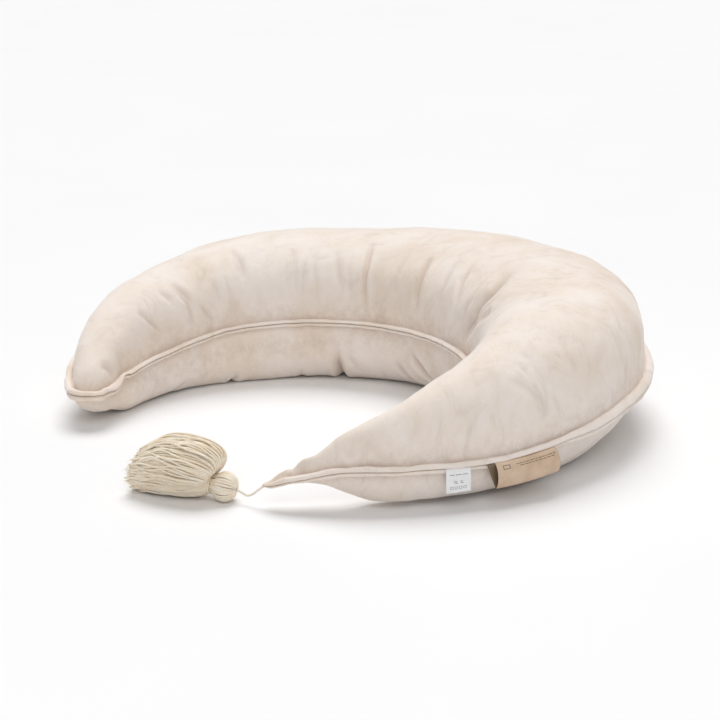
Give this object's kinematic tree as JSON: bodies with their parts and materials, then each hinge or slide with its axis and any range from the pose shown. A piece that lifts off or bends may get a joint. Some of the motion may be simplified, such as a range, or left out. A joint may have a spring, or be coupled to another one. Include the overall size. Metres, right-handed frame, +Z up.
{
  "type": "nursing pillow",
  "caption": "Half-moon stuffed nursing pillow in a flanged velvet cover, with a concealed zip, sewn-in labels and a corded tassel at one tip.",
  "frame": {"origin": "middle of the crescent, at the centre of its flat underside, on the surface that it lies on", "axes": "+Z up; +Y towards the closed back of the crescent, and the arms curve round towards -Y; +X towards the arm that carries the tassel and the labels"},
  "size_m": [0.6293, 0.6508, 0.1712],
  "materials": {
    "velvet": "short soft pile, warm beige",
    "lining_cotton": "plain weave, undyed",
    "fibre": "loose white fibre",
    "care_satin": "white satin ribbon",
    "label_leather": "smooth tan, slightly glossy",
    "tassel_cotton": "cream cotton yarn",
    "zip_tape": "woven tape",
    "zip_nylon": "moulded coil",
    "zip_metal": "satin"
  },
  "bodies": {
    "pillow": {"cover_top_panel": "velvet", "cover_bottom_panel": "velvet", "inner_case_top": "lining_cotton", "inner_case_bottom": "lining_cotton", "fibre_filling": "fibre", "zip_tape_upper": "zip_tape", "zip_tape_lower": "zip_tape", "zip_coil_upper": "zip_nylon", "zip_coil_lower": "zip_nylon", "zip_top_stop": "zip_metal", "zip_bottom_stop": "zip_metal"},
    "zip_slider_body": {"zip_slider": "zip_metal"},
    "zip_pull_body": {"zip_pull": "zip_metal"},
    "care_label_body": {"care_label": "care_satin"},
    "label_loop_body": {"label_loop": "label_leather"},
    "cord_body": {"tassel_cord": "tassel_cotton"},
    "tassel_body": {"tassel_head": "tassel_cotton", "tassel_neck_binding": "tassel_cotton", "tassel_skirt": "tassel_cotton"}
  },
  "joints": [
    {"name": "zip_travel", "type": "hinge", "parent": "pillow", "child": "zip_slider_body", "pos_m": [0, -0.21, 0.063], "axis": [0, 0, 1], "range_deg": [0, 53.2]},
    {"name": "zip_pull_swing", "type": "hinge", "parent": "zip_slider_body", "child": "zip_pull_body", "pos_m": [-0.04027, 0.10277, 0.063], "axis": [0.9918, 0.1277, 0], "range_deg": [0, 100]},
    {"name": "care_label_flap", "type": "hinge", "parent": "pillow", "child": "care_label_body", "pos_m": [0.28593, -0.29182, 0.043], "axis": [-0.311, -0.9504, 0], "range_deg": [0, 110]},
    {"name": "label_loop_flap", "type": "hinge", "parent": "pillow", "child": "label_loop_body", "pos_m": [0.30049, -0.22064, 0.0446], "axis": [-0.0866, -0.9935, -0.0737], "range_deg": [0, 80]},
    {"name": "tassel_swing", "type": "hinge", "parent": "pillow", "child": "cord_body", "pos_m": [0.171, -0.4385, 0.0225], "axis": [0, 0, 1], "range_deg": [-35, 75]},
    {"name": "tassel_lift", "type": "hinge", "parent": "cord_body", "child": "tassel_body", "pos_m": [0.1447, -0.4533, 0.0137], "axis": [-0.5446, 0.8387, 0], "range_deg": [0, 60]}
  ]
}
